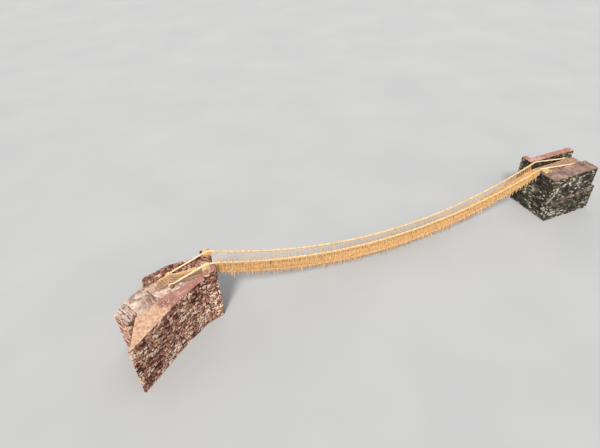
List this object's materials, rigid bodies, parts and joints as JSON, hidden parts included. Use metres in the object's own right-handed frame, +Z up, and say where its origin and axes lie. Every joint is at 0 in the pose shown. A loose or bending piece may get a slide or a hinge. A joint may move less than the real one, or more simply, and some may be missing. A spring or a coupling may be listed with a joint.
{
  "type": "rope suspension footbridge",
  "caption": "Grass-rope suspension footbridge: twisted floor ropes and handrails laced at the sides, a stick mat deck, and dry-stone abutments with mud-capped walls.",
  "frame": {"origin": "middle of the footprint, on the ground under the two abutments", "axes": "+X along the bridge towards the square abutment, +Y to its far side, +Z up"},
  "size_m": [39.7292, 6.83, 4.7404],
  "materials": {
    "grass_rope": "matte",
    "grass_cord": "matte",
    "stick_mat": "matte",
    "straw": "matte",
    "purple_stone": "matte",
    "green_stone": "matte",
    "paving": "matte",
    "red_mud": "matte",
    "timber": "matte"
  },
  "bodies": {
    "root": {"deck_mat_1": "stick_mat", "deck_mat_2": "stick_mat", "deck_mat_3": "stick_mat", "deck_mat_4": "stick_mat", "deck_mat_5": "stick_mat", "deck_mat_6": "stick_mat", "deck_mat_7": "stick_mat", "far_lacing_1": "grass_cord", "far_lacing_2": "grass_cord", "far_lacing_3": "grass_cord", "far_lacing_4": "grass_cord", "far_lacing_5": "grass_cord", "far_lacing_6": "grass_cord", "far_lacing_7": "grass_cord", "floor_rope_1": "grass_rope", "floor_rope_2": "grass_rope", "floor_rope_3": "grass_rope", "floor_rope_4": "grass_rope", "handrail_rope_far": "grass_rope", "handrail_rope_near": "grass_rope", "left_abutment": "purple_stone", "left_anchor_log": "timber", "left_far_pad": "straw", "left_far_pillar": "purple_stone", "left_far_wall": "purple_stone", "left_near_mud_cap": "red_mud", "left_near_pad": "straw", "left_near_pillar": "purple_stone", "left_near_wall": "purple_stone", "left_sill_beam": "timber", "left_step_1": "paving", "left_step_2": "paving", "near_lacing_1": "grass_cord", "near_lacing_2": "grass_cord", "near_lacing_3": "grass_cord", "near_lacing_4": "grass_cord", "near_lacing_5": "grass_cord", "near_lacing_6": "grass_cord", "near_lacing_7": "grass_cord", "right_abutment": "green_stone", "right_anchor_log": "timber", "right_far_mud_cap": "red_mud", "right_far_wall": "green_stone", "right_footing": "green_stone", "right_near_mud_cap": "red_mud", "right_near_pad": "straw", "right_near_wall": "green_stone", "right_sill_beam": "timber"}
  },
  "joints": []
}
